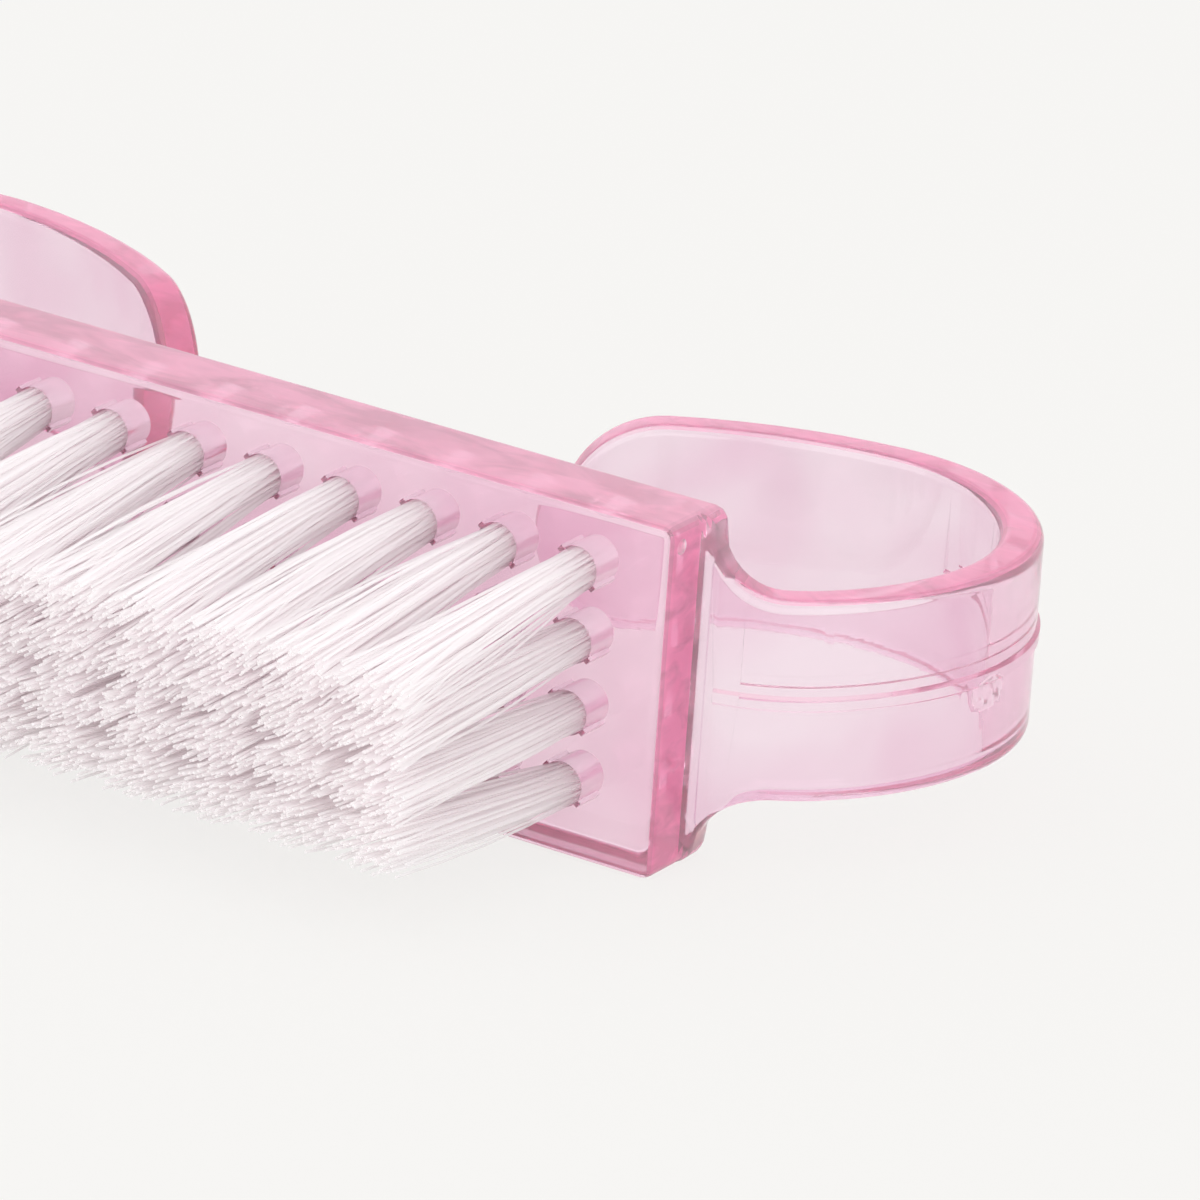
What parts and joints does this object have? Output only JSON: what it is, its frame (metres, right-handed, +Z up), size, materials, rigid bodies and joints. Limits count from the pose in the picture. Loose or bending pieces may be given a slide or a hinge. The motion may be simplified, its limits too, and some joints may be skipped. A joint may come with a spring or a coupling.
{
  "type": "nail brush",
  "caption": "Clear pink moulded nail brush with a rectangular block of white nylon tufts and an open curled finger loop at each end.",
  "frame": {"origin": "middle of the long side face of the block that the brush lies on, at mid-length and mid-thickness", "axes": "+X along the block, -Y the way the bristles point, +Y the side of the curled arms, +Z up across the width"},
  "size_m": [0.0958, 0.0531, 0.022],
  "materials": {
    "clear_pink_plastic": "polished, see-through, tinted pink",
    "white_nylon": "white filaments with a slight sheen",
    "anchor_metal": "plain drawn flat wire"
  },
  "bodies": {
    "root": {"brush_body": "clear_pink_plastic", "tuft_01_1": "white_nylon", "tuft_01_2": "white_nylon", "tuft_01_3": "white_nylon", "tuft_01_4": "white_nylon", "tuft_02_1": "white_nylon", "tuft_02_2": "white_nylon", "tuft_02_3": "white_nylon", "tuft_02_4": "white_nylon", "tuft_03_1": "white_nylon", "tuft_03_2": "white_nylon", "tuft_03_3": "white_nylon", "tuft_03_4": "white_nylon", "tuft_04_1": "white_nylon", "tuft_04_2": "white_nylon", "tuft_04_3": "white_nylon", "tuft_04_4": "white_nylon", "tuft_05_1": "white_nylon", "tuft_05_2": "white_nylon", "tuft_05_3": "white_nylon", "tuft_05_4": "white_nylon", "tuft_06_1": "white_nylon", "tuft_06_2": "white_nylon", "tuft_06_3": "white_nylon", "tuft_06_4": "white_nylon", "tuft_07_1": "white_nylon", "tuft_07_2": "white_nylon", "tuft_07_3": "white_nylon", "tuft_07_4": "white_nylon", "tuft_08_1": "white_nylon", "tuft_08_2": "white_nylon", "tuft_08_3": "white_nylon", "tuft_08_4": "white_nylon", "tuft_09_1": "white_nylon", "tuft_09_2": "white_nylon", "tuft_09_3": "white_nylon", "tuft_09_4": "white_nylon", "tuft_10_1": "white_nylon", "tuft_10_2": "white_nylon", "tuft_10_3": "white_nylon", "tuft_10_4": "white_nylon", "tuft_11_1": "white_nylon", "tuft_11_2": "white_nylon", "tuft_11_3": "white_nylon", "tuft_11_4": "white_nylon", "tuft_12_1": "white_nylon", "tuft_12_2": "white_nylon", "tuft_12_3": "white_nylon", "tuft_12_4": "white_nylon", "anchors_row_1": "anchor_metal", "anchors_row_2": "anchor_metal", "anchors_row_3": "anchor_metal", "anchors_row_4": "anchor_metal"}
  },
  "joints": []
}
